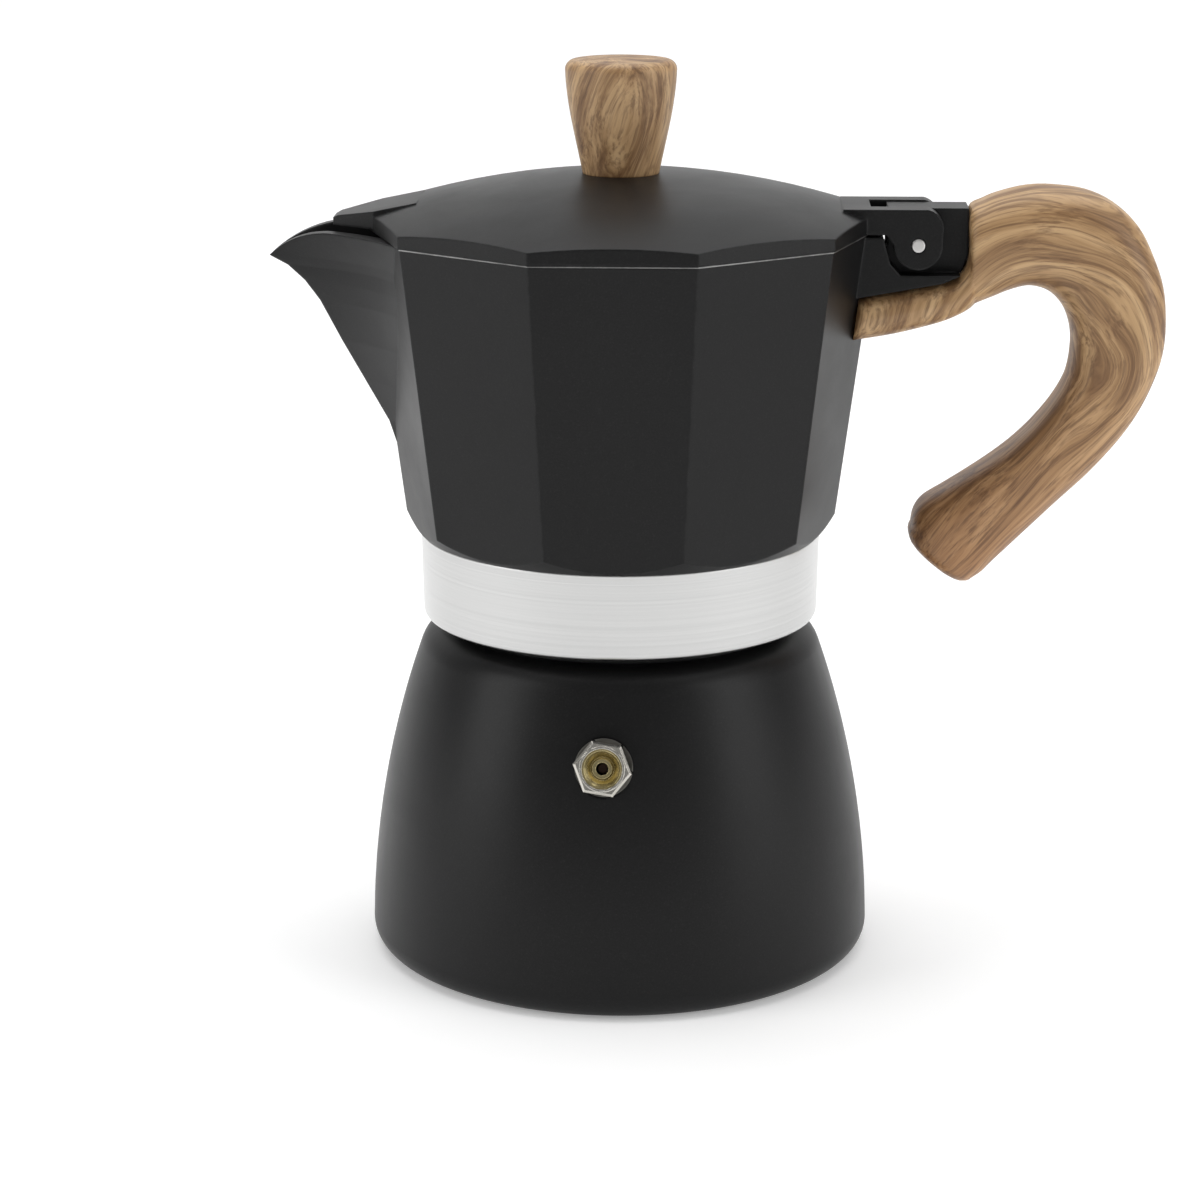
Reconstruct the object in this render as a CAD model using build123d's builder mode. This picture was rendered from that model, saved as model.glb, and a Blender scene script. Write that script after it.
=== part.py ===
from build123d import *
import math
import os

# Moka pot (stovetop coffee maker), about three cups.
# Millimetres. Origin at the centre of the boiler's base, +Z up,
# handle towards +X, spout towards -X, safety valve at the front (-Y).

# ---------------------------------------------------------------- driving sizes
# Boiler
boiler_r = 39.95  # widest radius, just above the base
base_flat_r = 36.2  # flat resting disc
base_round = 3.8  # rounded bottom edge
shoulder_z = 53.0  # top of the shoulder, under the collar
shoulder_r = 30.4  # wall radius where it would meet the shoulder plane
belly = (37.05, 30.0)  # a point half-way up the curved wall
shoulder_round = 5.0
boiler_wall = 3.0
boiler_floor = 3.5

# Threaded neck
neck_top_z = 64.0
neck_inner_r = 24.4
neck_root_r = 26.4
neck_crest_r = 27.1
thread_pitch = 2.2
thread_rings = 4
thread_start_z = 55.6

# Collar under the upper pot
collar_bottom_z = 54.5
collar_top_z = 68.0
collar_bottom_r = 31.15
collar_top_r = 31.45
collar_bore_r = 27.5
spigot_r = 29.4
spigot_bore_r = 27.6
spigot_bottom_z = 65.0

# Funnel, gasket and filter plate, stacked on the neck
seat_gap = 0.05
funnel_flange_r = 26.8
funnel_flange_t = 0.8
basket_r = 23.9
basket_wall = 0.8
basket_bottom_z = 47.5
stem_r = 4.0
stem_wall = 0.8
stem_bottom_z = 8.0
strainer_z = 49.2
strainer_t = 0.7
gasket_t = 3.0
gasket_outer_r = 27.2
gasket_inner_r = 21.4
plate_t = 0.8
plate_pan_r = 20.9
plate_pan_depth = 1.35

# Upper pot, ten-sided
sides = 10
pot_floor_z = 73.0
pot_ceiling_z = 68.8  # underside that the filter plate seals against
rim_z = 115.5
rim_r = 39.7  # corner radius at the rim
pot_taper = 0.1297  # growth of the corner radius per mm of height
pot_wall = 2.9  # measured at the corners
bevel_top_r = 45.0
bevel_slope = 0.98

# Coffee column
column_r = 4.2
column_bore_r = 2.9
column_top_z = 103.0
column_foot_z = 70.4

# Lid
lid_gap = 0.15
lid_corner_r = 39.95
lid_top_z = 124.15
lid_sphere_r = 123.0
lid_t = 1.8
skirt_t = 1.9
tongue_tip_x = -44.3

# Hinge between the lid's fork and the pot's lug
pin_x = 45.5
pin_z = 114.0
pin_r = 1.05
pin_clearance = 0.05
cheek_r = 3.7
arm_half = 7.2
arm_top_z = 119.5
lug_top_z = 119.25
slot_half = 3.65
slot_root_x = 38.3
lug_half = 3.5
lug_end_x = 53.3
lug_start_x = 41.0

# Handle
handle_half = 7.4
handle_round = 3.0
handle_fit = 0.1

# Safety valve
valve_z = 39.2
valve_r = 35.0
valve_azimuth = -92.2
valve_tilt = 14.5
valve_hex_r = 4.5
valve_travel = 1.0

parts_dir = "parts"


def pot_corner_r(z):
    """Corner radius of the ten-sided body at height z."""
    return rim_r - pot_taper * (rim_z - z)


def save(builder, label):
    builder.part.label = label
    export_step(builder.part, f"{parts_dir}/{label}.step")


os.makedirs(parts_dir, exist_ok=True)

# ---------------------------------------------------------------- safety valve axis
azimuth = math.radians(valve_azimuth)
tilt = math.radians(valve_tilt)
valve_out = Vector(
    math.cos(tilt) * math.cos(azimuth), math.cos(tilt) * math.sin(azimuth), math.sin(tilt)
)
valve_point = Vector(valve_r * math.cos(azimuth), valve_r * math.sin(azimuth), valve_z)
valve_plane = Plane(
    origin=valve_point, x_dir=(-math.sin(azimuth), math.cos(azimuth), 0), z_dir=valve_out
)
shank_r = 3.0
washer_r = 4.4
washer_t = 0.6
spotface_depth = 0.35
hex_t = 3.4
hex_base = washer_t - spotface_depth
hex_front = hex_base + hex_t
shank_end = -6.6
valve_bore_r = 2.1
valve_seat_z = -5.4
valve_seat_r = 1.2
cap_r = 3.05
cap_pocket_z = hex_front - 2.0
lip_r = 3.4
lip_height = 0.45

# ---------------------------------------------------------------- boiler
wall_foot = (boiler_r, base_round)
wall_head = (shoulder_r, shoulder_z)
inner_foot = (boiler_r - boiler_wall, base_round + boiler_floor)
inner_head = (shoulder_r - boiler_wall, shoulder_z - boiler_wall - 1.0)

with BuildPart() as boiler:
    with BuildSketch(Plane.XZ) as boiler_outline:
        with BuildLine():
            Polyline((0, 0), (base_flat_r, 0))
            RadiusArc((base_flat_r, 0), wall_foot, -base_round)
            ThreePointArc(wall_foot, belly, wall_head)
            Polyline(wall_head, (neck_root_r, shoulder_z), (neck_root_r, neck_top_z))
            Polyline((neck_root_r, neck_top_z), (0, neck_top_z), (0, 0))
        make_face()
        shoulder_corner = boiler_outline.vertices().sort_by_distance(Vector(shoulder_r, shoulder_z))
        fillet(shoulder_corner[0], shoulder_round)
    revolve(axis=Axis.Z)
    # Thread, drawn as separate ridges
    with BuildSketch(Plane.XZ):
        for ring in range(thread_rings):
            foot = thread_start_z + ring * thread_pitch
            with BuildLine():
                Polyline(
                    (neck_root_r - 0.2, foot),
                    (neck_crest_r, foot + 0.6),
                    (neck_crest_r, foot + 0.9),
                    (neck_root_r - 0.2, foot + 1.5),
                    close=True,
                )
            make_face()
    revolve(axis=Axis.Z)
    # Water chamber
    with BuildSketch(Plane.XZ) as chamber_outline:
        with BuildLine():
            Polyline((0, boiler_floor), (inner_foot[0], boiler_floor), inner_foot)
            ThreePointArc(inner_foot, (belly[0] - boiler_wall, belly[1]), inner_head)
            Polyline(inner_head, (neck_inner_r, shoulder_z), (neck_inner_r, neck_top_z + 1))
            Polyline((neck_inner_r, neck_top_z + 1), (0, neck_top_z + 1), (0, boiler_floor))
        make_face()
        chamber_foot = chamber_outline.vertices().sort_by_distance(Vector(inner_foot[0], boiler_floor))
        fillet(chamber_foot[0], base_round * 0.8)
    revolve(axis=Axis.Z, mode=Mode.SUBTRACT)
    # Seat and hole of the safety valve
    with BuildSketch(valve_plane.offset(-spotface_depth)):
        Circle(washer_r + 0.25)
    extrude(amount=6, mode=Mode.SUBTRACT)
    with BuildSketch(valve_plane.offset(-9)):
        Circle(shank_r)
    extrude(amount=12, mode=Mode.SUBTRACT)
save(boiler, "boiler")

# ---------------------------------------------------------------- safety valve
with BuildPart() as valve_washer:
    with BuildSketch(valve_plane.offset(-spotface_depth)):
        Circle(washer_r)
        Circle(shank_r, mode=Mode.SUBTRACT)
    extrude(amount=washer_t)
save(valve_washer, "valve_washer")

with BuildPart() as valve_body:
    with BuildSketch(valve_plane.offset(hex_base)):
        RegularPolygon(valve_hex_r, 6, rotation=-8.5)
    extrude(amount=hex_t)
    chamfer(valve_body.faces().sort_by(Axis(valve_point, valve_out))[-1].edges(), 0.35)
    with BuildSketch(valve_plane.offset(hex_front)):
        Circle(lip_r)
    extrude(amount=lip_height)
    with BuildSketch(valve_plane.offset(shank_end)):
        Circle(shank_r)
    extrude(amount=hex_base - shank_end)
    with BuildSketch(valve_plane.offset(cap_pocket_z)):
        Circle(cap_r)
    extrude(amount=5, mode=Mode.SUBTRACT)
    with BuildSketch(valve_plane.offset(valve_seat_z)):
        Circle(valve_bore_r)
    extrude(amount=9, mode=Mode.SUBTRACT)
    with BuildSketch(valve_plane.offset(shank_end - 1)):
        Circle(valve_seat_r)
    extrude(amount=3, mode=Mode.SUBTRACT)
save(valve_body, "valve_body")

# Dished brass cap, held in the pocket by the body's turned-over lip
cap_profile_plane = Plane(origin=valve_point, x_dir=valve_plane.x_dir, z_dir=-valve_plane.y_dir)
cap_eye_r = 0.95
with BuildPart() as valve_cap:
    with BuildSketch(cap_profile_plane):
        with BuildLine():
            Polyline(
                (cap_r, hex_front - 0.35),
                (cap_r, hex_front + 0.1),
                (cap_r - 0.3, hex_front + 0.1),
                (1.75, hex_front - 0.95),
                (1.5, hex_front - 0.35),
                (cap_eye_r, hex_front - 0.35),
                (cap_eye_r, cap_pocket_z),
                (cap_r, cap_pocket_z),
                close=True,
            )
        make_face()
    revolve(axis=Axis(valve_point, valve_out))
save(valve_cap, "valve_cap")

poppet_r = 1.95
poppet_t = 1.0
stem_pin_r = 0.7
poppet_back = valve_seat_z + seat_gap
with BuildPart() as valve_poppet:
    with BuildSketch(valve_plane.offset(poppet_back)):
        Circle(poppet_r)
    extrude(amount=poppet_t)
    with BuildSketch(valve_plane.offset(poppet_back)):
        Circle(stem_pin_r)
    extrude(amount=hex_front - 1.6 - poppet_back)
save(valve_poppet, "valve_poppet")

spring_wire_r = 0.22
spring_r = 1.45
spring_turns = 6
spring_foot = poppet_back + poppet_t + spring_wire_r
spring_length = cap_pocket_z - spring_wire_r - spring_foot
with BuildPart() as valve_spring:
    with BuildLine() as coil:
        Helix(
            spring_length / spring_turns,
            spring_length,
            spring_r,
            center=valve_plane.offset(spring_foot).origin,
            direction=valve_out,
        )
    with BuildSketch(Plane(origin=coil.line @ 0, z_dir=coil.line % 0)):
        Circle(spring_wire_r)
    sweep(is_frenet=True)
save(valve_spring, "valve_spring")

# ---------------------------------------------------------------- funnel
flange_bottom_z = neck_top_z + seat_gap
flange_top_z = flange_bottom_z + funnel_flange_t
cone_foot_z = 43.0
with BuildPart() as funnel:
    with BuildSketch(Plane.XZ):
        with BuildLine():
            Polyline(
                (funnel_flange_r, flange_bottom_z),
                (funnel_flange_r, flange_top_z),
                (basket_r - basket_wall, flange_top_z),
                (basket_r - basket_wall, strainer_z),
                (basket_r - 2.2, strainer_z),
                (basket_r - 2.2, basket_bottom_z + 0.5),
                (stem_r - stem_wall, cone_foot_z + 0.6),
                (stem_r - stem_wall, stem_bottom_z),
                (stem_r, stem_bottom_z),
                (stem_r, cone_foot_z),
                (basket_r - 1.6, basket_bottom_z - 0.6),
                (basket_r, basket_bottom_z + 0.9),
                (basket_r, flange_bottom_z),
                close=True,
            )
        make_face()
    revolve(axis=Axis.Z)
save(funnel, "funnel")

hole_rings = [(3.4, 6), (6.8, 12), (10.2, 18), (13.6, 24), (17.0, 30)]
with BuildPart() as funnel_strainer:
    with BuildSketch(Plane.XY.offset(strainer_z + 0.02)):
        Circle(basket_r - basket_wall - 0.05)
        Circle(0.55, mode=Mode.SUBTRACT)
        for ring_r, count in hole_rings:
            with PolarLocations(ring_r, count):
                Circle(0.55, mode=Mode.SUBTRACT)
    extrude(amount=strainer_t)
save(funnel_strainer, "funnel_strainer")

# ---------------------------------------------------------------- gasket and filter plate
gasket_bottom_z = flange_top_z + seat_gap
gasket_top_z = gasket_bottom_z + gasket_t
with BuildPart() as gasket:
    with BuildSketch(Plane.XY.offset(gasket_bottom_z)):
        Circle(gasket_outer_r)
        Circle(gasket_inner_r, mode=Mode.SUBTRACT)
    extrude(amount=gasket_t)
    fillet(gasket.edges(), 0.3)
save(gasket, "gasket")

plate_bottom_z = gasket_top_z
plate_top_z = plate_bottom_z + plate_t
pan_z = plate_bottom_z - plate_pan_depth
with BuildPart() as filter_plate:
    with BuildSketch(Plane.XZ):
        with BuildLine():
            Polyline(
                (0, pan_z),
                (plate_pan_r, pan_z),
                (plate_pan_r, plate_bottom_z),
                (gasket_outer_r, plate_bottom_z),
                (gasket_outer_r, plate_top_z),
                (plate_pan_r - plate_t, plate_top_z),
                (plate_pan_r - plate_t, pan_z + plate_t),
                (0, pan_z + plate_t),
                close=True,
            )
        make_face()
    revolve(axis=Axis.Z)
    with BuildSketch(Plane.XY.offset(pan_z)):
        Circle(0.5)
        for ring_r, count in hole_rings:
            with PolarLocations(ring_r, count):
                Circle(0.5)
    extrude(amount=plate_t, mode=Mode.SUBTRACT)
save(filter_plate, "filter_plate")

# ---------------------------------------------------------------- collar
with BuildPart() as threaded_collar:
    with BuildSketch(Plane.XZ) as collar_outline:
        with BuildLine():
            Polyline(
                (collar_bore_r, collar_bottom_z),
                (collar_bottom_r, collar_bottom_z),
                (collar_top_r, collar_top_z),
                (spigot_r, collar_top_z),
                (spigot_r, spigot_bottom_z),
                (collar_bore_r, spigot_bottom_z),
                close=True,
            )
        make_face()
        lower_edge = collar_outline.vertices().sort_by_distance(Vector(collar_bottom_r, collar_bottom_z))
        fillet(lower_edge[0], 1.1)
    revolve(axis=Axis.Z)
save(threaded_collar, "threaded_collar")


# ---------------------------------------------------------------- upper pot
def ten_sided(z, corner_r):
    """Ten-sided section with corners on the handle and spout sides."""
    with BuildSketch(Plane.XY.offset(z)) as section:
        RegularPolygon(corner_r, sides)
    return section.sketch


# Spout sections from the foot of the keel to the rim:
# height, keel x, half-width where the cheeks run into the wall, hollowness of the cheeks
spout_sections = [
    (80.5, -35.0, 0.5, 0.02),
    (84.8, -36.4, 2.8, 0.05),
    (91.2, -40.0, 7.8, 0.2),
    (97.6, -43.6, 13.0, 0.6),
    (103.9, -46.9, 18.0, 1.4),
    (107.0, -49.2, 20.4, 2.3),
    (109.4, -51.8, 21.8, 3.3),
    (110.9, -54.6, 22.6, 4.0),
    (rim_z, -62.5, 23.2, 4.6),
]


def spout_section(z, keel_x, half, hollow, wall):
    """V-shaped section of the spout, shrunk by the wall for the channel."""
    root_x = -pot_corner_r(z) + 0.325 * half + 0.6 + 1.2 * wall
    root_y = max(half - 0.8 * wall, 0.3)
    chord_angle = math.atan2(half, root_x - keel_x)
    tip_angle = chord_angle - 2 * math.atan2(2 * hollow, math.hypot(half, root_x - keel_x))
    tip_x = keel_x + wall / math.sin(max(tip_angle, 0.45))
    run = math.hypot(root_x - tip_x, root_y)
    mid_x = (tip_x + root_x) / 2 + hollow * root_y / run
    mid_y = root_y / 2 - hollow * (root_x - tip_x) / run
    with BuildSketch(Plane.XY.offset(z)) as section:
        with BuildLine():
            ThreePointArc((tip_x, 0), (mid_x, mid_y), (root_x, root_y))
            ThreePointArc((root_x, -root_y), (mid_x, -mid_y), (tip_x, 0))
            Line((root_x, root_y), (root_x, -root_y))
        make_face()
    return section.sketch


with BuildPart() as spout_outer:
    loft([spout_section(*row, wall=0.0) for row in spout_sections], ruled=True)

with BuildPart() as spout_channel:
    loft([spout_section(*row, wall=1.7) for row in spout_sections[2:]], ruled=True)

with BuildPart() as pot_bore:
    loft(
        [
            ten_sided(pot_floor_z, pot_corner_r(pot_floor_z) - pot_wall),
            ten_sided(rim_z + 2, pot_corner_r(rim_z + 2) - pot_wall),
        ]
    )

lug_outline = [
    (34.0, 104.5),
    (36.5, 105.9),
    (49.4, 108.2),
    (52.4, 109.6),
    (lug_end_x, 112.0),
    (lug_end_x, lug_top_z),
    (lug_start_x, lug_top_z),
    (lug_start_x, 113.4),
    (34.0, 113.4),
]
saddle_top_z = 109.4
saddle_outline = [
    (34.0, 105.4),
    (36.5, 105.9),
    (49.4, 108.2),
    (52.0, saddle_top_z),
    (42.9, saddle_top_z),
    (41.3, 111.2),
    (40.7, 113.2),
    (40.2, 115.2),
    (34.0, 115.2),
]

with BuildPart() as upper_pot:
    loft([ten_sided(collar_top_z, pot_corner_r(collar_top_z)), ten_sided(rim_z, rim_r)])
    # Turned bevel down to the collar
    with BuildSketch(Plane.XZ):
        with BuildLine():
            Polyline(
                (collar_top_r, collar_top_z),
                (bevel_top_r, collar_top_z),
                (bevel_top_r, collar_top_z + (bevel_top_r - collar_top_r) * bevel_slope),
                close=True,
            )
        make_face()
    revolve(axis=Axis.Z, mode=Mode.SUBTRACT)
    add(spout_outer.part)
    # Lug for the lid's hinge, and the saddle that the handle is screwed to
    with BuildSketch(Plane.XZ):
        Polygon(*lug_outline, align=None)
    extrude(amount=lug_half, both=True)
    with BuildSketch(Plane.XZ):
        Polygon(*saddle_outline, align=None)
    extrude(amount=arm_half - 0.15, both=True)
    add(pot_bore.part, mode=Mode.SUBTRACT)
    add(spout_channel.part, mode=Mode.SUBTRACT)
    # Spout rim arches down to the tip
    with BuildSketch(Plane.XZ):
        with BuildLine():
            ThreePointArc((-43.4, rim_z), (-50.3, 114.0), (-55.4, 110.1))
            Polyline((-55.4, 110.1), (-70, 106), (-70, rim_z + 5), (-43.4, rim_z + 5), (-43.4, rim_z))
        make_face()
    extrude(amount=30, both=True, mode=Mode.SUBTRACT)
    # Boss for the column
    with BuildSketch(Plane.XY.offset(pot_floor_z - 1)):
        Circle(8.0)
    extrude(amount=7.0, taper=12)
    # Spigot inside the collar
    with BuildSketch(Plane.XY.offset(spigot_bottom_z)):
        Circle(spigot_r)
        Circle(spigot_bore_r, mode=Mode.SUBTRACT)
    extrude(amount=collar_top_z - spigot_bottom_z)
    # Sealing recess and coffee dome over the filter plate
    with BuildSketch(Plane.XZ):
        with BuildLine():
            Polyline(
                (0, collar_top_z - 1),
                (spigot_bore_r, collar_top_z - 1),
                (spigot_bore_r, pot_ceiling_z),
                (19.5, pot_ceiling_z),
                (column_r, column_foot_z),
                (0, column_foot_z),
                close=True,
            )
        make_face()
    revolve(axis=Axis.Z, mode=Mode.SUBTRACT)
    with BuildSketch(Plane.XY.offset(column_foot_z - 1)):
        Circle(column_r)
    extrude(amount=12, mode=Mode.SUBTRACT)
    # Hinge pin bore
    with BuildSketch(Plane.XZ):
        with Locations((pin_x, pin_z)):
            Circle(pin_r)
    extrude(amount=lug_half + 1, both=True, mode=Mode.SUBTRACT)
    # Tapped hole for the handle screw, from below
    with BuildSketch(Plane.XY.offset(104)):
        with Locations((42.4, 0)):
            Circle(1.7)
    extrude(amount=12.2, mode=Mode.SUBTRACT)
save(upper_pot, "upper_pot")

# ---------------------------------------------------------------- coffee column
with BuildPart() as coffee_column:
    with BuildSketch(Plane.XZ):
        with BuildLine():
            Polyline((column_bore_r, column_foot_z), (column_r, column_foot_z), (column_r, 84))
            Line((column_r, 84), (column_r - 0.5, column_top_z - 1.6))
            TangentArc((0, column_top_z), (column_r - 0.5, column_top_z - 1.6), tangent=(1, 0))
            Polyline((0, column_top_z), (0, column_top_z - 1.2))
            Polyline((0, column_top_z - 1.2), (column_bore_r, column_top_z - 2.2), (column_bore_r, column_foot_z))
        make_face()
    revolve(axis=Axis.Z)
    # Two outlets below the closed top
    with BuildSketch(Plane.XZ):
        with Locations((0, column_top_z - 5.2)):
            SlotOverall(5.4, 3.0, rotation=90)
    extrude(amount=column_r + 2, both=True, mode=Mode.SUBTRACT)
save(coffee_column, "coffee_column")

# ---------------------------------------------------------------- lid
skirt_z = rim_z + lid_gap


def dome(top_z, sphere_r, reach, floor_z):
    """Solid under a spherical dome."""
    drop = sphere_r - math.sqrt(sphere_r**2 - reach**2)
    with BuildPart() as cap:
        with BuildSketch(Plane.XZ):
            with BuildLine():
                Polyline((0, top_z), (0, floor_z), (reach, floor_z), (reach, top_z - drop))
                RadiusArc((reach, top_z - drop), (0, top_z), -sphere_r)
            make_face()
        revolve(axis=Axis.Z)
    return cap.part


with BuildPart() as lid_hollow:
    with BuildSketch(Plane.XY.offset(skirt_z - 1)):
        RegularPolygon(lid_corner_r - skirt_t, sides)
    extrude(amount=12)
    add(dome(lid_top_z - lid_t, lid_sphere_r - lid_t, 45, skirt_z - 5), mode=Mode.INTERSECT)

# Tongue over the root of the spout, sloping down from the dome
with BuildPart() as tongue:
    with BuildSketch(Plane.XZ):
        Polygon(
            (-31.0, 118.2),
            (-36.0, skirt_z + 0.4),
            (tongue_tip_x, skirt_z + 0.4),
            (tongue_tip_x, 117.2),
            (tongue_tip_x + 0.8, 117.6),
            (-31.0, 120.15),
            align=None,
        )
    extrude(amount=8, both=True)
    with BuildSketch(Plane.XY.offset(skirt_z)):
        Polygon(
            (-30.0, -7.2),
            (-37.6, -7.2),
            (tongue_tip_x, -2.4),
            (tongue_tip_x, 2.4),
            (-37.6, 7.2),
            (-30.0, 7.2),
            align=None,
        )
    extrude(amount=6, mode=Mode.INTERSECT)

with BuildPart() as lid:
    with BuildSketch(Plane.XY.offset(skirt_z)):
        RegularPolygon(lid_corner_r, sides)
    extrude(amount=12)
    add(dome(lid_top_z, lid_sphere_r, 45, skirt_z - 5), mode=Mode.INTERSECT)
    add(lid_hollow.part, mode=Mode.SUBTRACT)
    add(tongue.part)
    # Fork: a flat arm that parts into two cheeks around the lug
    with BuildSketch(Plane.XZ):
        with BuildLine():
            Polyline((34.0, skirt_z), (34.0, arm_top_z), (pin_x + 1.4, arm_top_z))
            ThreePointArc(
                (pin_x + 1.4, arm_top_z), (pin_x + 3.1, arm_top_z - 1.0), (pin_x + cheek_r, pin_z + 1.8)
            )
            Line((pin_x + cheek_r, pin_z + 1.8), (pin_x + cheek_r, pin_z))
            ThreePointArc((pin_x + cheek_r, pin_z), (pin_x, pin_z - cheek_r), (pin_x - cheek_r, pin_z))
            Polyline((pin_x - cheek_r, pin_z), (40.6, skirt_z), (34.0, skirt_z))
        make_face()
    extrude(amount=arm_half, both=True)
    with BuildSketch(Plane.XY.offset(pin_z - 6)):
        with Locations((slot_root_x + 10, 0)):
            Rectangle(20, 2 * slot_half)
    extrude(amount=20, mode=Mode.SUBTRACT)
    # Pin bore through both cheeks, and the knob screw's hole
    with BuildSketch(Plane.XZ):
        with Locations((pin_x, pin_z)):
            Circle(pin_r + pin_clearance)
    extrude(amount=arm_half + 1, both=True, mode=Mode.SUBTRACT)
    with BuildSketch(Plane.XY.offset(skirt_z)):
        Circle(1.8)
    extrude(amount=12, mode=Mode.SUBTRACT)
    # Small flat that the knob stands on
    with BuildSketch(Plane.XY.offset(lid_top_z - 0.15)):
        Circle(10)
    extrude(amount=2, mode=Mode.SUBTRACT)
save(lid, "lid")

with BuildPart() as hinge_pin:
    with BuildSketch(Plane.XZ):
        with Locations((pin_x, pin_z)):
            Circle(pin_r)
    extrude(amount=arm_half + 0.15, both=True)
    fillet(hinge_pin.edges().filter_by(GeomType.CIRCLE), 0.25)
save(hinge_pin, "hinge_pin")

# ---------------------------------------------------------------- knob
knob_base_z = lid_top_z - 0.15
knob_top_z = 141.6
with BuildPart() as lid_knob:
    with BuildSketch(Plane.XZ) as knob_outline:
        with BuildLine():
            Line((0, knob_base_z), (5.9, knob_base_z))
            Spline((5.9, knob_base_z), (7.05, 129.4), (7.95, 134.0), (8.55, 139.6))
            ThreePointArc((8.55, 139.6), (8.2, 140.8), (7.0, 141.3))
            TangentArc((0, knob_top_z), (7.0, 141.3), tangent=(1, 0))
            Line((0, knob_top_z), (0, knob_base_z))
        make_face()
    revolve(axis=Axis.Z)
    with BuildSketch(Plane.XY.offset(knob_base_z - 1)):
        Circle(1.6)
    extrude(amount=12.4, mode=Mode.SUBTRACT)
save(lid_knob, "lid_knob")

lid_underside_z = lid_top_z - lid_t - 0.1
knob_washer_t = 0.5
with BuildPart() as knob_washer:
    with BuildSketch(Plane.XY.offset(lid_underside_z - knob_washer_t - 0.05)):
        Circle(4.0)
        Circle(1.8, mode=Mode.SUBTRACT)
    extrude(amount=knob_washer_t)
save(knob_washer, "knob_washer")

screw_head_top_z = lid_underside_z - knob_washer_t - 0.05
with BuildPart() as knob_screw:
    with BuildSketch(Plane.XY.offset(screw_head_top_z - 1.9)):
        Circle(3.0)
    extrude(amount=1.9)
    fillet(knob_screw.faces().sort_by(Axis.Z)[0].edges(), 0.8)
    with BuildSketch(Plane.XY.offset(screw_head_top_z)):
        Circle(1.6)
    extrude(amount=knob_base_z + 11.0 - screw_head_top_z)
    with BuildSketch(Plane.XY.offset(screw_head_top_z - 1.9)):
        Rectangle(4.2, 0.7)
        Rectangle(0.7, 4.2)
    extrude(amount=0.9, mode=Mode.SUBTRACT)
save(knob_screw, "knob_screw")

# ---------------------------------------------------------------- handle
screw_x = 42.4
screw_seat_z = 102.6
with BuildPart() as handle_clearance:
    loft(
        [
            ten_sided(90, pot_corner_r(90) + handle_fit),
            ten_sided(rim_z, rim_r + handle_fit),
        ]
    )

with BuildPart() as handle:
    with BuildSketch(Plane.XZ.offset(-handle_half)):
        with BuildLine():
            Spline(
                (lug_end_x + handle_fit, 118.9),
                (58.6, 121.4),
                (66.5, 122.4),
                (75.7, 119.8),
                (81.8, 112.0),
                (84.2, 101.6),
                (82.6, 92.3),
                (77.4, 83.0),
                (68.2, 73.3),
                (58.9, 63.9),
                (55.4, 61.0),
                (51.6, 61.0),
                (48.4, 64.6),
                (45.8, 68.7),
                (46.4, 72.2),
                (50.6, 74.8),
                (57.3, 79.2),
                (64.0, 85.0),
                (68.9, 92.0),
                (69.9, 99.0),
                (67.8, 104.8),
                (62.6, 107.4),
                (56.1, 105.0),
                (49.2, 101.9),
                (42.3, 99.9),
                (34.0, 98.2),
            )
            Polyline((34.0, 98.2), (34.0, 105.3), (36.5, 105.8), (49.4, 108.1), (52.5, 109.5))
            Polyline((52.5, 109.5), (lug_end_x + handle_fit, 112.0), (lug_end_x + handle_fit, 118.9))
        make_face()
    extrude(amount=2 * handle_half)
    fillet(handle.edges().filter_by(GeomType.BSPLINE), handle_round)
    add(handle_clearance.part, mode=Mode.SUBTRACT)
    # Counterbored hole for the handle screw, from below
    with BuildSketch(Plane.XY.offset(90)):
        with Locations((screw_x, 0)):
            Circle(3.7)
    extrude(amount=screw_seat_z - 90, mode=Mode.SUBTRACT)
    with BuildSketch(Plane.XY.offset(90)):
        with Locations((screw_x, 0)):
            Circle(2.1)
    extrude(amount=20, mode=Mode.SUBTRACT)
save(handle, "handle")

with BuildPart() as handle_screw:
    with BuildSketch(Plane.XY.offset(screw_seat_z - 2.4)):
        with Locations((screw_x, 0)):
            Circle(3.4)
    extrude(amount=2.4)
    with BuildSketch(Plane.XY.offset(screw_seat_z)):
        with Locations((screw_x, 0)):
            Circle(1.7)
    extrude(amount=13.0)
    with BuildSketch(Plane.XY.offset(screw_seat_z - 2.4)):
        with Locations((screw_x, 0)):
            Rectangle(5.0, 0.8)
            Rectangle(0.8, 5.0)
    extrude(amount=1.2, mode=Mode.SUBTRACT)
save(handle_screw, "handle_screw")
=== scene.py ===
import math
import bpy
import bmesh
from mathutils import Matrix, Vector


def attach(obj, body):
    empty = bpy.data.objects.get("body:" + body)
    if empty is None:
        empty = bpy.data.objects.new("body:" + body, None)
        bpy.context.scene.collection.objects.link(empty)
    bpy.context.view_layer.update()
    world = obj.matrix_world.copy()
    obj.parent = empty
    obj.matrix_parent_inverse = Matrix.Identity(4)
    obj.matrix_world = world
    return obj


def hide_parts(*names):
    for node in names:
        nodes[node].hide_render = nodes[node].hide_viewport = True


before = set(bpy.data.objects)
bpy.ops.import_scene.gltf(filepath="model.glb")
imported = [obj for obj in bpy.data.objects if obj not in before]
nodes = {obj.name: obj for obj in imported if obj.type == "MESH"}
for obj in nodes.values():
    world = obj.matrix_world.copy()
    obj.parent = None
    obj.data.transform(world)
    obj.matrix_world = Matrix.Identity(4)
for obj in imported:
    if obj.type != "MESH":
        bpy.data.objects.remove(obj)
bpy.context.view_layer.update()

mm = 0.001
print("frame loaded")


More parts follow.
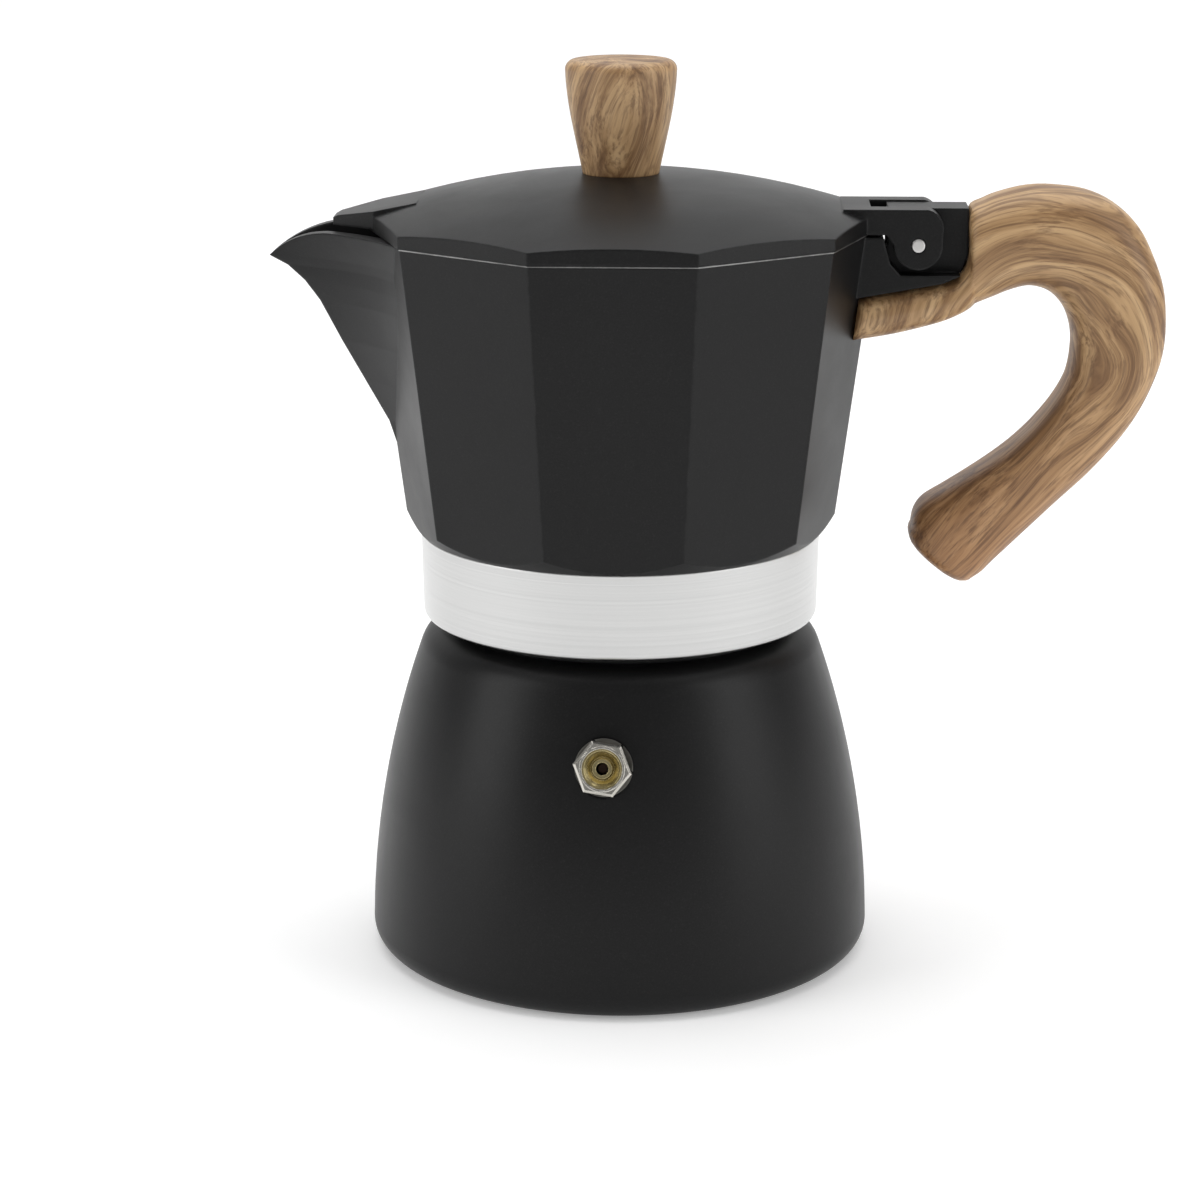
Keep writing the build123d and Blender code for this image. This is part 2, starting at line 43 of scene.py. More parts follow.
# shader helpers: a socket given as a value is linked, anything else is set on the input itself
def addNode(tree, kind, values=None, **settings):
    made = tree.nodes.new(kind)
    for key, value in settings.items():
        setattr(made, key, value)
    for key, value in (values or {}).items():
        if isinstance(value, bpy.types.NodeSocket):
            tree.links.new(value, made.inputs[key])
        else:
            made.inputs[key].default_value = value
    return made


def addRamp(tree, factor, stops):
    ramp = addNode(tree, "ShaderNodeValToRGB", {"Fac": factor})
    while len(ramp.color_ramp.elements) < len(stops):
        ramp.color_ramp.elements.new(0.5)
    for element, (place, color) in zip(ramp.color_ramp.elements, stops):
        element.position = place
        element.color = (*color, 1.0)
    return ramp


def startGroup(name, inputs, outputs):
    tree = bpy.data.node_groups.new(name, "ShaderNodeTree")
    for label, kind, value in inputs:
        socket = tree.interface.new_socket(name=label, in_out="INPUT", socket_type=kind)
        if value is not None:
            socket.default_value = value
    for label, kind in outputs:
        tree.interface.new_socket(name=label, in_out="OUTPUT", socket_type=kind)
    return tree, tree.nodes.new("NodeGroupInput"), tree.nodes.new("NodeGroupOutput")


def useGroup(tree, group, values):
    made = tree.nodes.new("ShaderNodeGroup")
    made.node_tree = group
    for key, value in values.items():
        if isinstance(value, bpy.types.NodeSocket):
            tree.links.new(value, made.inputs[key])
        else:
            made.inputs[key].default_value = value
    return made


floatSocket = "NodeSocketFloat"
vectorSocket = "NodeSocketVector"


# fine relief over a softened edge normal
def makeReliefGroup():
    tree, given, result = startGroup(
        "relief",
        [("Vector", vectorSocket, None), ("Scale", floatSocket, 900.0), ("Strength", floatSocket, 0.1),
         ("Depth", floatSocket, 0.00005), ("Edge", floatSocket, 0.0003)],
        [("Normal", vectorSocket)])
    softened = addNode(tree, "ShaderNodeBevel", {"Radius": given.outputs["Edge"]}, samples=4)
    grain = addNode(tree, "ShaderNodeTexNoise",
                    {"Vector": given.outputs["Vector"], "Scale": given.outputs["Scale"], "Detail": 3.0,
                     "Roughness": 0.6})
    bump = addNode(tree, "ShaderNodeBump",
                   {"Strength": given.outputs["Strength"], "Distance": given.outputs["Depth"],
                    "Height": grain.outputs["Fac"], "Normal": softened.outputs["Normal"]})
    tree.links.new(bump.outputs["Normal"], result.inputs["Normal"])
    return tree


# worn places: near sharp edges, broken up by noise
def makeWearGroup():
    tree, given, result = startGroup(
        "edgeWear",
        [("Vector", vectorSocket, None), ("Width", floatSocket, 0.0006), ("Amount", floatSocket, 0.5)],
        [("Mask", floatSocket)])
    bevel = addNode(tree, "ShaderNodeBevel", {"Radius": given.outputs["Width"]}, samples=4)
    flat = addNode(tree, "ShaderNodeNewGeometry")
    dot = addNode(tree, "ShaderNodeVectorMath", {0: bevel.outputs["Normal"], 1: flat.outputs["Normal"]},
                  operation="DOT_PRODUCT")
    edge = addNode(tree, "ShaderNodeMapRange",
                   {"Value": dot.outputs["Value"], "From Min": 0.995, "From Max": 0.93, "To Min": 0.0, "To Max": 1.0})
    breakup = addNode(tree, "ShaderNodeTexNoise",
                      {"Vector": given.outputs["Vector"], "Scale": 420.0, "Detail": 4.0, "Roughness": 0.65})
    broken = addNode(tree, "ShaderNodeMapRange",
                     {"Value": breakup.outputs["Fac"], "From Min": 0.42, "From Max": 0.66,
                      "To Min": 0.0, "To Max": 1.0})
    both = addNode(tree, "ShaderNodeMath", {0: edge.outputs["Result"], 1: broken.outputs["Result"]},
                   operation="MULTIPLY")
    scaled = addNode(tree, "ShaderNodeMath", {0: both.outputs["Value"], 1: given.outputs["Amount"]},
                     operation="MULTIPLY", use_clamp=True)
    tree.links.new(scaled.outputs["Value"], result.inputs["Mask"])
    return tree


# slow variation from handling, given out as a roughness
def makeHandlingGroup():
    tree, given, result = startGroup(
        "handling",
        [("Vector", vectorSocket, None), ("Scale", floatSocket, 30.0), ("Low", floatSocket, 0.3),
         ("High", floatSocket, 0.45)],
        [("Roughness", floatSocket), ("Mask", floatSocket)])
    broad = addNode(tree, "ShaderNodeTexNoise",
                    {"Vector": given.outputs["Vector"], "Scale": given.outputs["Scale"], "Detail": 6.0,
                     "Roughness": 0.62, "Distortion": 0.4})
    spread = addNode(tree, "ShaderNodeMapRange",
                     {"Value": broad.outputs["Fac"], "From Min": 0.3, "From Max": 0.7,
                      "To Min": given.outputs["Low"], "To Max": given.outputs["High"]})
    tree.links.new(spread.outputs["Result"], result.inputs["Roughness"])
    tree.links.new(broad.outputs["Fac"], result.inputs["Mask"])
    return tree


# rings left by a lathe tool around the pot's axis
def makeTurningGroup():
    tree, given, result = startGroup(
        "turning",
        [("Vector", vectorSocket, None), ("Across", floatSocket, 9.0), ("Along", floatSocket, 2600.0)],
        [("Height", floatSocket)])
    parts = addNode(tree, "ShaderNodeSeparateXYZ", {"Vector": given.outputs["Vector"]})
    squareX = addNode(tree, "ShaderNodeMath", {0: parts.outputs["X"], 1: parts.outputs["X"]}, operation="MULTIPLY")
    squareSum = addNode(tree, "ShaderNodeMath",
                        {0: parts.outputs["Y"], 1: parts.outputs["Y"], 2: squareX.outputs["Value"]},
                        operation="MULTIPLY_ADD")
    radius = addNode(tree, "ShaderNodeMath", {0: squareSum.outputs["Value"]}, operation="SQRT")
    path = addNode(tree, "ShaderNodeMath", {0: radius.outputs["Value"], 1: parts.outputs["Z"]}, operation="ADD")
    fine = addNode(tree, "ShaderNodeMath", {0: path.outputs["Value"], 1: given.outputs["Along"]},
                   operation="MULTIPLY")
    wideX = addNode(tree, "ShaderNodeMath", {0: parts.outputs["X"], 1: given.outputs["Across"]},
                    operation="MULTIPLY")
    wideY = addNode(tree, "ShaderNodeMath", {0: parts.outputs["Y"], 1: given.outputs["Across"]},
                    operation="MULTIPLY")
    stretched = addNode(tree, "ShaderNodeCombineXYZ",
                        {"X": wideX.outputs["Value"], "Y": wideY.outputs["Value"], "Z": fine.outputs["Value"]})
    lines = addNode(tree, "ShaderNodeTexNoise",
                    {"Vector": stretched.outputs["Vector"], "Scale": 1.0, "Detail": 3.0, "Roughness": 0.7})
    tree.links.new(lines.outputs["Fac"], result.inputs["Height"])
    return tree


reliefGroup = makeReliefGroup()
wearGroup = makeWearGroup()
handlingGroup = makeHandlingGroup()
turningGroup = makeTurningGroup()
print("shader groups made")


def startMaterial(name):
    material = bpy.data.materials.new(name)
    material.use_nodes = True
    tree = material.node_tree
    tree.nodes.clear()
    shader = tree.nodes.new("ShaderNodeBsdfPrincipled")
    output = tree.nodes.new("ShaderNodeOutputMaterial")
    tree.links.new(shader.outputs["BSDF"], output.inputs["Surface"])
    place = tree.nodes.new("ShaderNodeTexCoord").outputs["Object"]
    return material, tree, shader, place


# black enamel over cast aluminium
def makeEnamel():
    look = {"low": 0.34, "high": 0.46, "ior": 1.3, "grain": 2600.0, "grainStrength": 0.16, "wear": 0.35}
    material, tree, shader, place = startMaterial("blackEnamel")
    handled = useGroup(tree, handlingGroup,
                       {"Vector": place, "Scale": 26.0, "Low": look["low"], "High": look["high"]})
    worn = useGroup(tree, wearGroup, {"Vector": place, "Width": 0.0005, "Amount": look["wear"]})
    speck = addNode(tree, "ShaderNodeTexNoise", {"Vector": place, "Scale": 3800.0, "Detail": 2.0})
    paint = addRamp(tree, speck.outputs["Fac"],
                    [(0.30, (0.0042, 0.0042, 0.0044)), (0.62, (0.0066, 0.0066, 0.0068)),
                     (0.74, (0.011, 0.011, 0.011))])
    color = addNode(tree, "ShaderNodeMix", {"Factor": worn.outputs["Mask"], 6: paint.outputs["Color"],
                                            7: (0.05, 0.05, 0.051, 1.0)}, data_type="RGBA")
    relief = useGroup(tree, reliefGroup, {"Vector": place, "Scale": look["grain"],
                                          "Strength": look["grainStrength"], "Depth": 0.00003, "Edge": 0.0005})
    tree.links.new(color.outputs[2], shader.inputs["Base Color"])
    tree.links.new(handled.outputs["Roughness"], shader.inputs["Roughness"])
    tree.links.new(relief.outputs["Normal"], shader.inputs["Normal"])
    shader.inputs["IOR"].default_value = look["ior"]
    return material


# bare aluminium with lathe rings
def makeTurnedAluminium():
    look = {"rough": (0.20, 0.28), "lines": 0.07, "aniso": 0.35}
    material, tree, shader, place = startMaterial("turnedAluminium")
    handled = useGroup(tree, handlingGroup, {"Vector": place, "Scale": 38.0, "Low": look["rough"][0],
                                             "High": look["rough"][1]})
    rings = useGroup(tree, turningGroup, {"Vector": place, "Across": 7.0, "Along": 2400.0})
    tone = addRamp(tree, rings.outputs["Height"],
                   [(0.25, (0.50, 0.50, 0.497)), (0.55, (0.555, 0.555, 0.55)), (0.80, (0.60, 0.60, 0.594))])
    relief = useGroup(tree, reliefGroup, {"Vector": place, "Scale": 1500.0, "Strength": 0.05,
                                          "Depth": 0.00002, "Edge": 0.0003})
    bump = addNode(tree, "ShaderNodeBump", {"Strength": look["lines"], "Distance": 0.00002,
                                            "Height": rings.outputs["Height"],
                                            "Normal": relief.outputs["Normal"]})
    around = addNode(tree, "ShaderNodeTangent", direction_type="RADIAL", axis="Z")
    tree.links.new(tone.outputs["Color"], shader.inputs["Base Color"])
    tree.links.new(handled.outputs["Roughness"], shader.inputs["Roughness"])
    tree.links.new(bump.outputs["Normal"], shader.inputs["Normal"])
    tree.links.new(around.outputs["Tangent"], shader.inputs["Tangent"])
    shader.inputs["Metallic"].default_value = 1.0
    shader.inputs["Anisotropic"].default_value = look["aniso"]
    return material


# pressed or cast bare metal of the hidden pieces
def makePlainMetal(name, light, dark, rough, grain):
    material, tree, shader, place = startMaterial(name)
    handled = useGroup(tree, handlingGroup, {"Vector": place, "Scale": 90.0, "Low": rough[0], "High": rough[1]})
    worn = useGroup(tree, wearGroup, {"Vector": place, "Width": 0.0003, "Amount": 0.8})
    tone = addRamp(tree, handled.outputs["Mask"], [(0.35, dark), (0.65, light)])
    bright = tuple(min(1.0, c * 1.25) for c in light)
    color = addNode(tree, "ShaderNodeMix", {"Factor": worn.outputs["Mask"], 6: tone.outputs["Color"],
                                            7: (*bright, 1.0)}, data_type="RGBA")
    relief = useGroup(tree, reliefGroup, {"Vector": place, "Scale": grain, "Strength": 0.12,
                                          "Depth": 0.00003, "Edge": 0.00018})
    tree.links.new(color.outputs[2], shader.inputs["Base Color"])
    tree.links.new(handled.outputs["Roughness"], shader.inputs["Roughness"])
    tree.links.new(relief.outputs["Normal"], shader.inputs["Normal"])
    shader.inputs["Metallic"].default_value = 1.0
    return material


# pale sealing rubber
def makeRubber():
    material, tree, shader, place = startMaterial("sealRubber")
    handled = useGroup(tree, handlingGroup, {"Vector": place, "Scale": 120.0, "Low": 0.6, "High": 0.8})
    tone = addRamp(tree, handled.outputs["Mask"], [(0.35, (0.42, 0.39, 0.33)), (0.7, (0.56, 0.53, 0.47))])
    relief = useGroup(tree, reliefGroup, {"Vector": place, "Scale": 1800.0, "Strength": 0.3,
                                          "Depth": 0.00004, "Edge": 0.0003})
    tree.links.new(tone.outputs["Color"], shader.inputs["Base Color"])
    tree.links.new(handled.outputs["Roughness"], shader.inputs["Roughness"])
    tree.links.new(relief.outputs["Normal"], shader.inputs["Normal"])
    return material


# wood figure from a coordinate whose X runs along the grain
def makeWoodGroup():
    tree, given, result = startGroup(
        "woodFigure",
        [("Vector", vectorSocket, None), ("Wander", floatSocket, 1.0)],
        [("Color", "NodeSocketColor"), ("Height", floatSocket), ("Streak", floatSocket)])
    slow = addNode(tree, "ShaderNodeMapping", {"Vector": given.outputs["Vector"], "Scale": (22.0, 75.0, 75.0)})
    drift = addNode(tree, "ShaderNodeTexNoise", {"Vector": slow.outputs["Vector"], "Scale": 1.0, "Detail": 2.0})
    centred = addNode(tree, "ShaderNodeVectorMath", {0: drift.outputs["Color"], 1: (0.5, 0.5, 0.5)},
                      operation="SUBTRACT")
    amount = addNode(tree, "ShaderNodeMath", {0: given.outputs["Wander"], 1: 0.011}, operation="MULTIPLY")
    wander = addNode(tree, "ShaderNodeVectorMath", {0: centred.outputs["Vector"], "Scale": amount.outputs["Value"]},
                     operation="SCALE")
    bent = addNode(tree, "ShaderNodeVectorMath", {0: given.outputs["Vector"], 1: wander.outputs["Vector"]},
                   operation="ADD")
    bands = addNode(tree, "ShaderNodeMapping", {"Vector": bent.outputs["Vector"], "Scale": (9.0, 420.0, 330.0)})
    rings = addNode(tree, "ShaderNodeTexNoise", {"Vector": bands.outputs["Vector"], "Scale": 1.0, "Detail": 4.0,
                                                 "Roughness": 0.6})
    threads = addNode(tree, "ShaderNodeMapping", {"Vector": bent.outputs["Vector"], "Scale": (60.0, 2100.0, 1700.0)})
    pores = addNode(tree, "ShaderNodeTexNoise", {"Vector": threads.outputs["Vector"], "Scale": 1.0, "Detail": 3.0,
                                                 "Roughness": 0.65})
    base = addRamp(tree, rings.outputs["Fac"],
                   [(0.28, (0.130, 0.060, 0.022)), (0.40, (0.265, 0.145, 0.062)), (0.50, (0.440, 0.268, 0.126)),
                    (0.62, (0.560, 0.362, 0.184)), (0.78, (0.640, 0.438, 0.240))])
    darkness = addNode(tree, "ShaderNodeMapRange",
                       {"Value": pores.outputs["Fac"], "From Min": 0.36, "From Max": 0.54, "To Min": 0.62,
                        "To Max": 0.0})
    color = addNode(tree, "ShaderNodeMix", {"Factor": darkness.outputs["Result"], 6: base.outputs["Color"],
                                            7: (0.120, 0.056, 0.024, 1.0)}, data_type="RGBA")
    height = addNode(tree, "ShaderNodeMath", {0: rings.outputs["Fac"], 1: pores.outputs["Fac"]}, operation="ADD")
    tree.links.new(color.outputs[2], result.inputs["Color"])
    tree.links.new(height.outputs["Value"], result.inputs["Height"])
    tree.links.new(darkness.outputs["Result"], result.inputs["Streak"])
    return tree


woodGroup = makeWoodGroup()


def makeWood(name, wander, attributeName=None, turn=(0.0, 0.0, 0.0)):
    material, tree, shader, place = startMaterial(name)
    if attributeName:
        along = addNode(tree, "ShaderNodeAttribute", attribute_name=attributeName).outputs["Vector"]
    else:
        along = addNode(tree, "ShaderNodeMapping", {"Vector": place, "Rotation": turn}).outputs["Vector"]
    figure = useGroup(tree, woodGroup, {"Vector": along, "Wander": wander})
    handled = useGroup(tree, handlingGroup, {"Vector": place, "Scale": 60.0, "Low": 0.40, "High": 0.55})
    relief = useGroup(tree, reliefGroup, {"Vector": place, "Scale": 2000.0, "Strength": 0.06,
                                          "Depth": 0.00003, "Edge": 0.0004})
    bump = addNode(tree, "ShaderNodeBump", {"Strength": 0.25, "Distance": 0.00008,
                                            "Height": figure.outputs["Height"],
                                            "Normal": relief.outputs["Normal"]})
    tone = figure.outputs["Color"]
    if attributeName:
        # redder and darker towards the lower end
        parts = addNode(tree, "ShaderNodeSeparateXYZ", {"Vector": along})
        lower = addNode(tree, "ShaderNodeMapRange", {"Value": parts.outputs["X"], "From Min": 0.055,
                                                     "From Max": 0.105, "To Min": 0.0, "To Max": 0.75})
        tone = addNode(tree, "ShaderNodeMix", {"Factor": lower.outputs["Result"], 6: figure.outputs["Color"],
                                               7: (0.72, 0.54, 0.44, 1.0)},
                       data_type="RGBA", blend_type="MULTIPLY").outputs[2]
    tree.links.new(tone, shader.inputs["Base Color"])
    tree.links.new(handled.outputs["Roughness"], shader.inputs["Roughness"])
    tree.links.new(bump.outputs["Normal"], shader.inputs["Normal"])
    return material


enamel = makeEnamel()
turned = makeTurnedAluminium()
castMetal = makePlainMetal("pressedAluminium", (0.72, 0.72, 0.71), (0.60, 0.60, 0.59), (0.34, 0.48), 2200.0)
steel = makePlainMetal("plainSteel", (0.62, 0.61, 0.60), (0.50, 0.49, 0.47), (0.22, 0.34), 3000.0)
plated = makePlainMetal("platedBrass", (0.68, 0.66, 0.61), (0.46, 0.44, 0.39), (0.09, 0.18), 2600.0)
dullPlated = makePlainMetal("dullPlating", (0.17, 0.165, 0.15), (0.08, 0.077, 0.07), (0.30, 0.44), 3000.0)
brass = makePlainMetal("machinedBrass", (0.58, 0.49, 0.27), (0.30, 0.25, 0.11), (0.13, 0.24), 2600.0)
# near-black brass for the valve poppet: painted shade in the hollow at the centre of the valve cap
poppetShadeBrass = makePlainMetal("paintedShadeBrass", (0.045, 0.030, 0.022), (0.02, 0.012, 0.012), (0.30, 0.45), 3000.0)
# metal of the rim band, partly bare rim metal and partly a painted highlight: the light line along the rim under the
# lid
rimHighlightMetal = makePlainMetal("rimHighlightMetal", (0.30, 0.30, 0.295), (0.12, 0.12, 0.118), (0.35, 0.5), 2600.0)
rubber = makeRubber()
handleWood = makeWood("handleWood", 1.0, attributeName="grain")
knobWood = makeWood("knobWood", 1.6, turn=(0.25, math.radians(68), 0.3))
print("materials made")

carried = {
    "boiler": enamel, "upper_pot": enamel, "lid": enamel, "threaded_collar": turned,
    "funnel": castMetal, "funnel_strainer": castMetal, "filter_plate": castMetal, "coffee_column": castMetal,
    "gasket": rubber, "valve_body": plated, "valve_washer": dullPlated, "valve_cap": brass,
    # the poppet's near-black colour is painted shade in the cap's hollow
    "valve_poppet": poppetShadeBrass,
    "valve_spring": steel, "handle_screw": steel, "hinge_pin": steel, "knob_screw": steel,
    "knob_washer": steel,
    "handle": handleWood, "lid_knob": knobWood,
}
for name, material in carried.items():
    nodes[name].data.materials.clear()
    nodes[name].data.materials.append(material)
print("CAD pieces dressed")


def linkPiece(name, build, material, smooth=True):
    mesh = bpy.data.meshes.new(name)
    bmesh.ops.recalc_face_normals(build, faces=build.faces)
    for face in build.faces:
        face.smooth = smooth
    build.to_mesh(mesh)
    build.free()
    mesh.materials.append(material)
    piece = bpy.data.objects.new(name, mesh)
    bpy.context.scene.collection.objects.link(piece)
    return piece


def between(a, b, c, d, t):
    return 0.5 * (2 * b + (c - a) * t + (2 * a - 5 * b + 4 * c - d) * t * t + (3 * b - a - 3 * c + d) * t ** 3)


# handle: a rounded section carried along the bend, from the pot's wall to the blunt lower end
handleForm = {
    "half": 7.35, "round": 5.2, "roundOfThickness": 0.48, "roundOfHalf": 0.72, "steps": 4, "corner": 6,
    "endSteps": 7, "endBulge": 2.3, "endPower": 0.55, "endTip": 0.02, "endWidth": (0.42, 0.58), "widthPower": 0.3,
    # outer edge (x, z), inner edge (x, z)
    "rows": [
        (36.7, 105.7, 35.9, 98.9), (43.0, 106.8, 42.3, 100.0), (49.4, 108.0, 49.0, 101.8),
        (52.2, 109.2, 52.3, 103.2), (53.45, 112.2, 54.0, 104.1), (53.5, 118.5, 55.2, 104.7),
        (55.8, 120.2, 57.4, 105.6), (58.6, 121.3, 59.8, 106.6), (62.5, 122.2, 62.6, 107.3),
        (66.5, 122.3, 65.2, 106.8), (71.4, 121.6, 67.1, 105.5), (75.6, 119.7, 68.6, 103.4),
        (79.3, 116.4, 69.5, 101.2), (81.7, 112.0, 69.9, 99.0), (83.5, 107.0, 69.9, 96.8),
        (84.1, 101.6, 69.6, 94.3), (83.8, 96.8, 68.9, 92.0), (82.5, 92.3, 67.0, 88.7),
        (80.3, 87.5, 64.0, 85.0), (77.3, 83.0, 60.8, 81.9), (73.0, 78.0, 57.3, 79.2),
        (68.2, 73.3, 53.9, 76.9), (63.4, 68.5, 50.6, 74.8), (58.8, 63.9, 47.6, 72.9),
        (57.0, 62.0, 46.2, 70.9), (55.5, 60.9, 45.8, 68.8),
    ],
}


def handleStations():
    rows = handleForm["rows"]
    stations = []
    for i in range(len(rows) - 1):
        before, after = rows[max(i - 1, 0)], rows[min(i + 2, len(rows) - 1)]
        for k in range(handleForm["steps"]):
            t = k / handleForm["steps"]
            stations.append([between(before[n], rows[i][n], rows[i + 1][n], after[n], t) for n in range(4)]
                            + [handleForm["half"]])
    ox, oz, ix, iz = rows[-1]
    middle = Vector(((ox + ix) / 2, (oz + iz) / 2))
    across = Vector((ox, oz)) - middle
    outward = Vector((across.y, -across.x)).normalized()
    if outward.y > 0:
        outward.negate()
    least, gain = handleForm["endWidth"]
    for k in range(handleForm["endSteps"] + 1):
        angle = math.pi / 2 * k / handleForm["endSteps"]
        shrink = math.cos(angle) ** handleForm["endPower"] if k < handleForm["endSteps"] else handleForm["endTip"]
        centre = middle + outward * handleForm["endBulge"] * math.sin(angle)
        outer, inner = centre + across * shrink, centre - across * shrink
        half = handleForm["half"] * (least + gain * shrink) * shrink ** handleForm["widthPower"]
        stations.append([outer.x, outer.y, inner.x, inner.y, half])
    return stations


def sectionPoints(thick, half):
    radius = min(handleForm["round"], thick * handleForm["roundOfThickness"], half * handleForm["roundOfHalf"])
    points = []
    for quarter, (su, sv) in enumerate([(1, 1), (-1, 1), (-1, -1), (1, -1)]):
        for k in range(handleForm["corner"] + 1):
            angle = math.pi / 2 * (quarter + k / handleForm["corner"])
            points.append((su * (thick / 2 - radius) + radius * math.cos(angle),
                           sv * (half - radius) + radius * math.sin(angle)))
    return points


# the grain arches over the upper bend and then runs straight down the lower limb
grainForm = {"centre": (66.0, 97.0), "turnRadius": 18.0, "down": (-0.64, -0.768)}


def grainPlace(x, z, y):
    turnRadius = grainForm["turnRadius"]
    down = Vector(grainForm["down"])
    side = Vector((-down.y, down.x))
    away = Vector((x, z)) - Vector(grainForm["centre"])
    bendEnd = math.pi - math.atan2(side.y, side.x)
    if away.dot(down) > 0.0 and away.dot(side) > 0.0:
        return (turnRadius * bendEnd + away.dot(down)) * mm, away.dot(side) * mm, y * mm
    turned = math.pi - math.atan2(away.y, away.x)
    if turned > 1.5 * math.pi:
        turned -= 2 * math.pi
    return turnRadius * turned * mm, away.length * mm, y * mm


boreForm = {"x": 42.4, "seat": 102.6, "radius": 3.6, "depth": 16.0, "segments": 48}


def makeHandle():
    build = bmesh.new()
    grain = build.verts.layers.float_vector.new("grain")
    rings = []
    for ox, oz, ix, iz, half in handleStations():
        outer, inner = Vector((ox, 0.0, oz)), Vector((ix, 0.0, iz))
        centre = (outer + inner) / 2
        across = outer - inner
        thick = across.length
        across.normalize()
        ring = []
        for u, v in sectionPoints(thick, half):
            vert = build.verts.new((centre + across * u + Vector((0.0, v, 0.0))) * mm)
            vert[grain] = grainPlace(vert.co.x / mm, vert.co.z / mm, v)
            ring.append(vert)
        rings.append(ring)
    count = len(rings[0])
    for first, second in zip(rings, rings[1:]):
        for k in range(count):
            build.faces.new((first[k], first[(k + 1) % count], second[(k + 1) % count], second[k]))
    build.faces.new(rings[0])
    build.faces.new(rings[-1])
    piece = linkPiece("handleShape", build, handleWood)
    # counterbore for the screw, from below
    drill = bmesh.new()
    bmesh.ops.create_cone(drill, cap_ends=True, segments=boreForm["segments"], radius1=boreForm["radius"] * mm,
                          radius2=boreForm["radius"] * mm, depth=boreForm["depth"] * mm)
    bmesh.ops.translate(drill, verts=drill.verts,
                        vec=(boreForm["x"] * mm, 0.0, (boreForm["seat"] - boreForm["depth"] / 2) * mm))
    cutter = linkPiece("counterbore", drill, handleWood, smooth=False)
    cut = piece.modifiers.new("counterbore", "BOOLEAN")
    cut.operation = "DIFFERENCE"
    cut.solver = "EXACT"
    cut.object = cutter
    bpy.context.view_layer.update()
    shaped = bpy.data.meshes.new_from_object(piece.evaluated_get(bpy.context.evaluated_depsgraph_get()))
    piece.modifiers.remove(cut)
    piece.data = shaped
    bpy.data.objects.remove(cutter)
    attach(piece, "pot")
    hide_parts("handle")


# bare metal band on the rim's top edge, made tall enough to paint the rim's edge highlight as a thin light line under
# the lid; it stops either side of the spout
def makeRimHighlightLine():
    form = {"outer": 39.80, "inner": 36.9, "low": 115.38, "high": 115.62, "soft": 0.06, "sides": 10,
            "lastCorner": 4}
    build = bmesh.new()
    profile = [(form["inner"], form["high"]), (form["outer"] - form["soft"], form["high"]),
               (form["outer"], form["high"] - form["soft"]), (form["outer"], form["low"] + form["soft"]),
               (form["outer"] - form["soft"], form["low"]), (form["inner"], form["low"])]
    rings = []
    for k in range(-form["lastCorner"], form["lastCorner"] + 1):
        angle = 2 * math.pi * k / form["sides"]
        rings.append([build.verts.new((r * math.cos(angle) * mm, r * math.sin(angle) * mm, z * mm))
                      for r, z in profile])
    for first, second in zip(rings, rings[1:]):
        for n in range(len(profile)):
            m = (n + 1) % len(profile)
            build.faces.new((first[n], second[n], second[m], first[m]))
    build.faces.new(rings[0])
    build.faces.new(rings[-1])
    line = linkPiece("rimHighlightBand", build, rimHighlightMetal, smooth=False)
    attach(line, "pot")


makeHandle()
makeRimHighlightLine()
print("built pieces made")


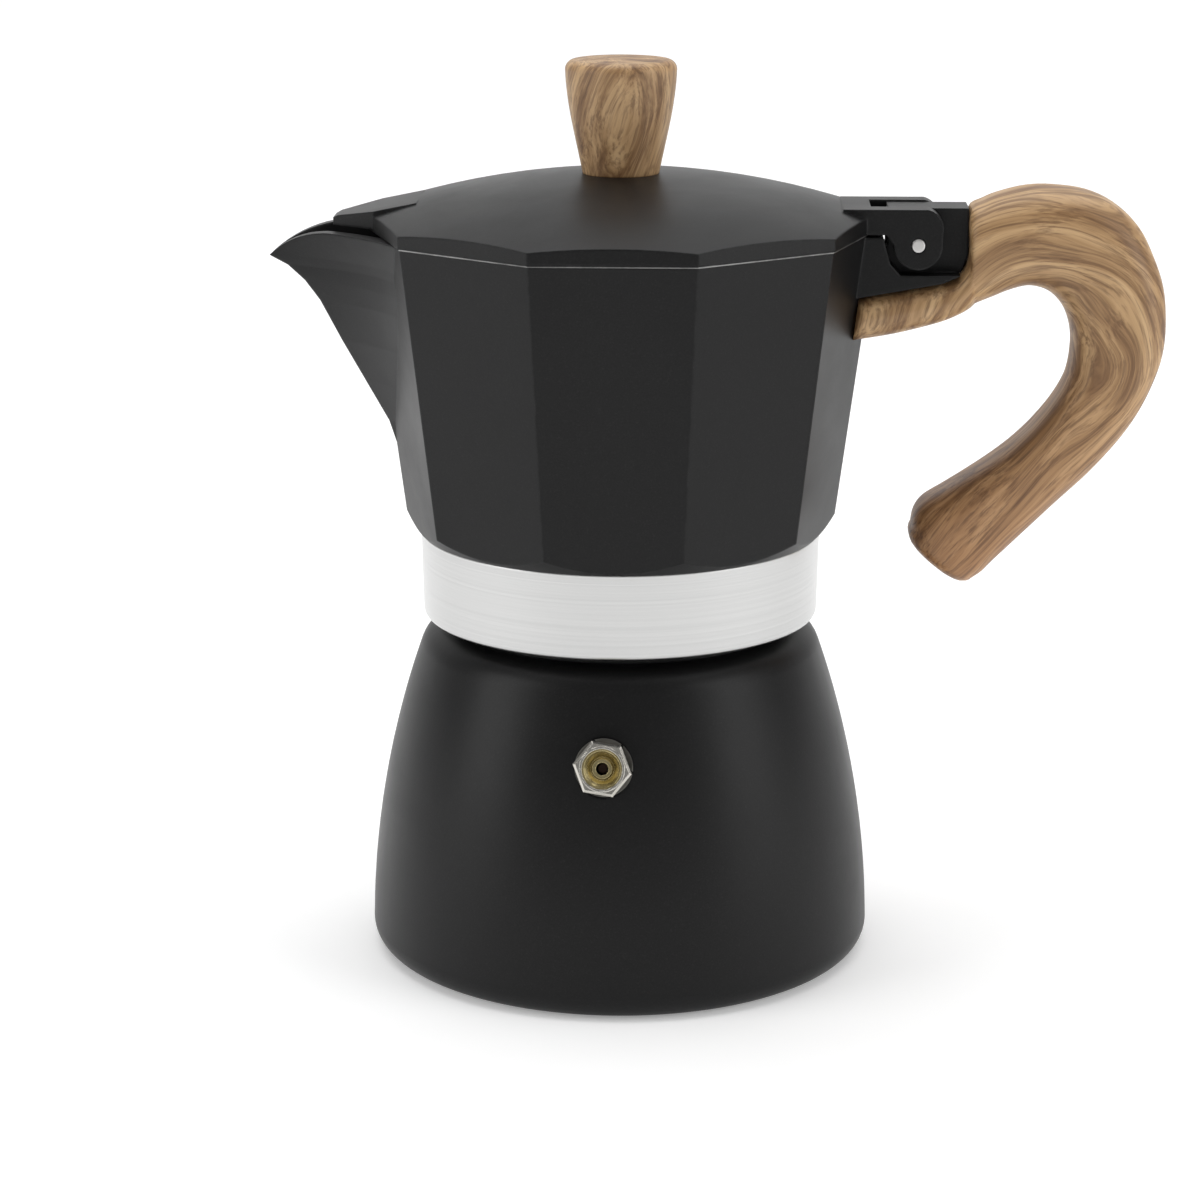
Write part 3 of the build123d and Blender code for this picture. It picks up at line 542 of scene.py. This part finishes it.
# floor and studio
def makeFloor():
    mesh = bpy.data.meshes.new("floor")
    build = bmesh.new()
    look = {"glow": 0.24, "rough": 0.9, "specular": 0.1}
    half = 2.2
    rows = [(-half, 0.0), (0.9, 0.0), (1.15, 0.03), (1.32, 0.13), (1.40, 0.30), (1.42, 2.4)]
    left = [build.verts.new((-half, y, z)) for y, z in rows]
    right = [build.verts.new((half, y, z)) for y, z in rows]
    for i in range(len(rows) - 1):
        build.faces.new((left[i], right[i], right[i + 1], left[i + 1])).smooth = True
    build.to_mesh(mesh)
    build.free()
    floor = bpy.data.objects.new("floor", mesh)
    bpy.context.scene.collection.objects.link(floor)
    material, tree, shader, place = startMaterial("paleFloor")
    tone = addNode(tree, "ShaderNodeTexNoise", {"Vector": place, "Scale": 3.0, "Detail": 2.0})
    ramp = addRamp(tree, tone.outputs["Fac"], [(0.3, (0.89, 0.89, 0.89)), (0.7, (0.91, 0.91, 0.91))])
    tree.links.new(ramp.outputs["Color"], shader.inputs["Base Color"])
    shader.inputs["Emission Color"].default_value = (1.0, 1.0, 1.0, 1.0)
    shader.inputs["Emission Strength"].default_value = look["glow"]
    shader.inputs["Roughness"].default_value = look["rough"]
    shader.inputs["Specular IOR Level"].default_value = look["specular"]
    mesh.materials.append(material)


def addPanel(name, place, aim, size, power):
    light = bpy.data.lights.new(name, "AREA")
    light.shape = "RECTANGLE"
    light.size, light.size_y = size
    light.energy = power
    panel = bpy.data.objects.new(name, light)
    panel.location = place
    panel.rotation_euler = (Vector(aim) - Vector(place)).to_track_quat("-Z", "Y").to_euler()
    bpy.context.scene.collection.objects.link(panel)


def makeStudio():
    world = bpy.data.worlds.new("studio")
    bpy.context.scene.world = world
    world.use_nodes = True
    back = world.node_tree.nodes["Background"]
    back.inputs["Color"].default_value = (1.0, 1.0, 1.0, 1.0)
    back.inputs["Strength"].default_value = 0.30
    addPanel("top", (0.0, 0.25, 1.3), (0.0, 0.0, 0.0), (1.6, 1.2), 13.0)
    addPanel("left", (-0.85, -0.35, 0.35), (0.0, 0.0, 0.08), (0.5, 0.9), 3.6)
    addPanel("right", (0.85, -0.35, 0.35), (0.0, 0.0, 0.08), (0.5, 0.9), 3.6)


def makeCamera():
    data = bpy.data.cameras.new("camera")
    data.sensor_width = 36.0
    data.lens = 98.46
    data.clip_start = 0.01
    data.dof.use_dof = False
    camera = bpy.data.objects.new("camera", data)
    camera.location = (0.015694, -0.504280, 0.192679)
    camera.rotation_euler = (math.radians(74.827), 0.0, math.radians(2.148))
    bpy.context.scene.collection.objects.link(camera)
    bpy.context.scene.camera = camera


makeFloor()
makeStudio()
makeCamera()
bpy.context.scene.view_settings.view_transform = "Standard"
print("studio ready")
